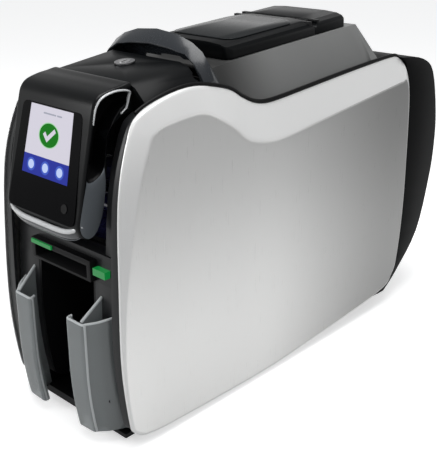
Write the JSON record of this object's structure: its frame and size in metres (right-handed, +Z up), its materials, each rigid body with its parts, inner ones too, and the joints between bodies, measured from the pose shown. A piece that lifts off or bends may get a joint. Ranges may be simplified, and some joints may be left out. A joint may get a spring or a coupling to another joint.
{
  "type": "id card printer",
  "caption": "Desktop card printer with dished side panels, a hinged front cover carrying a display head, a hinged hopper lid, clear output guards and a belt-driven card path.",
  "frame": {"origin": "on the floor under the middle of the body", "axes": "+X to the machine's right-hand panel, which the picture shows; -Y to the front, where the display is; +Z up"},
  "size_m": [0.13, 0.3969, 0.266],
  "materials": {
    "panel_metal": "fine brushed satin",
    "shell_black": "satin black",
    "shell_grey": "satin charcoal",
    "gloss_black": "gloss black",
    "glass_black": "polished black window",
    "clear_guard": "clear moulded plastic",
    "trim_grey": "smooth grey",
    "frame_steel": "bare sheet",
    "steel_pin": "ground",
    "rubber_black": "matt",
    "light_green": "lit light pipe",
    "screen_face": "lit screen",
    "board_green": "circuit board",
    "motor_grey": "dark paint",
    "ribbon_blue": "thin film",
    "alloy": "extruded",
    "moulding_light": "plain moulding"
  },
  "bodies": {
    "housing": {"base_tray": "shell_black", "feet": "rubber_black", "frame_left": "frame_steel", "frame_right": "frame_steel", "side_panel_left": "panel_metal", "side_panel_right": "panel_metal", "fascia_upper": "gloss_black", "fascia_lower": "shell_black", "output_bin": "shell_black", "guard_left": "clear_guard", "guard_right": "clear_guard", "guard_clips": "shell_black", "slot_bezel": "gloss_black", "slot_light": "light_green", "bin_light": "light_green", "collar": "shell_grey", "top_shell": "shell_grey", "rear_housing": "shell_black", "port_tray": "shell_black", "power_inlet": "gloss_black", "usb_port": "frame_steel", "network_port": "frame_steel", "top_cap": "shell_black", "lid_hinge_pin": "steel_pin", "hopper_box": "shell_black", "cover_hinge_pin": "steel_pin", "bulkhead": "shell_black", "card_deck": "shell_grey", "drive_belt": "rubber_black", "feed_motor": "motor_grey", "ribbon_frame": "moulding_light", "ribbon_film": "ribbon_blue", "print_head": "alloy", "head_bridge": "frame_steel", "main_board": "board_green"},
    "cover": {"cover_shell": "shell_grey", "head_shell": "gloss_black", "chin_trim": "trim_grey", "grip_left": "gloss_black", "grip_right": "gloss_black", "display_glass": "glass_black", "screen_panel": "screen_face", "display_board": "board_green", "lock_ring": "trim_grey"},
    "power_key": {"power_button": "gloss_black"},
    "lock": {"lock_plug": "steel_pin"},
    "lid": {"hopper_lid": "shell_black", "lid_pad": "gloss_black"},
    "pusher": {"card_pusher": "trim_grey"},
    "platen": {"platen_roller": "rubber_black"},
    "exit_roll": {"exit_roller": "rubber_black"},
    "transport_roll": {"transport_roller": "rubber_black"},
    "pick_roll": {"pick_roller": "rubber_black"},
    "drive": {"motor_pulley": "alloy"},
    "supply": {"supply_spool": "ribbon_blue"},
    "takeup": {"takeup_spool": "ribbon_blue"}
  },
  "joints": [
    {"name": "cover_hinge", "type": "hinge", "parent": "housing", "child": "cover", "pos_m": [0, -0.1025, 0.241], "axis": [-1, 0, 0], "range_deg": [0, 70]},
    {"name": "power_key_press", "type": "slide", "parent": "cover", "child": "power_key", "axis": [0, 0.9732, -0.23], "range_m": [0, 0.0008], "stiffness_N_per_m": 400},
    {"name": "lock_turn", "type": "hinge", "parent": "cover", "child": "lock", "pos_m": [0, -0.1215, 0.247], "axis": [0, -0.1305, 0.9914], "range_deg": [0, 90]},
    {"name": "lid_hinge", "type": "hinge", "parent": "housing", "child": "lid", "pos_m": [0, 0.0354, 0.26003], "axis": [-1, 0, 0], "range_deg": [0, 80]},
    {"name": "pusher_slide", "type": "slide", "parent": "housing", "child": "pusher", "axis": [0, 0, 1], "range_m": [0, 0.09]},
    {"name": "platen_spin", "type": "hinge", "parent": "housing", "child": "platen", "pos_m": [0, -0.135, 0.115], "axis": [1, 0, 0], "continuous": true},
    {"name": "exit_spin", "type": "hinge", "parent": "housing", "child": "exit_roll", "pos_m": [0, -0.158, 0.117], "axis": [1, 0, 0], "continuous": true},
    {"name": "transport_spin", "type": "hinge", "parent": "housing", "child": "transport_roll", "pos_m": [0, -0.091, 0.117], "axis": [1, 0, 0], "continuous": true},
    {"name": "pick_spin", "type": "hinge", "parent": "housing", "child": "pick_roll", "pos_m": [0, -0.003, 0.117], "axis": [1, 0, 0], "continuous": true},
    {"name": "drive_spin", "type": "hinge", "parent": "housing", "child": "drive", "pos_m": [0, -0.049, 0.07], "axis": [1, 0, 0], "continuous": true},
    {"name": "supply_spin", "type": "hinge", "parent": "housing", "child": "supply", "pos_m": [0, -0.116, 0.162], "axis": [1, 0, 0], "continuous": true},
    {"name": "takeup_spin", "type": "hinge", "parent": "housing", "child": "takeup", "pos_m": [0, -0.153, 0.162], "axis": [1, 0, 0], "continuous": true}
  ],
  "couplings": [
    {"joint": "exit_spin", "follows": "platen_spin", "ratio": 1.2857},
    {"joint": "transport_spin", "follows": "platen_spin", "ratio": 1.2857},
    {"joint": "pick_spin", "follows": "platen_spin", "ratio": 1.2857},
    {"joint": "drive_spin", "follows": "platen_spin", "ratio": 1.8}
  ]
}
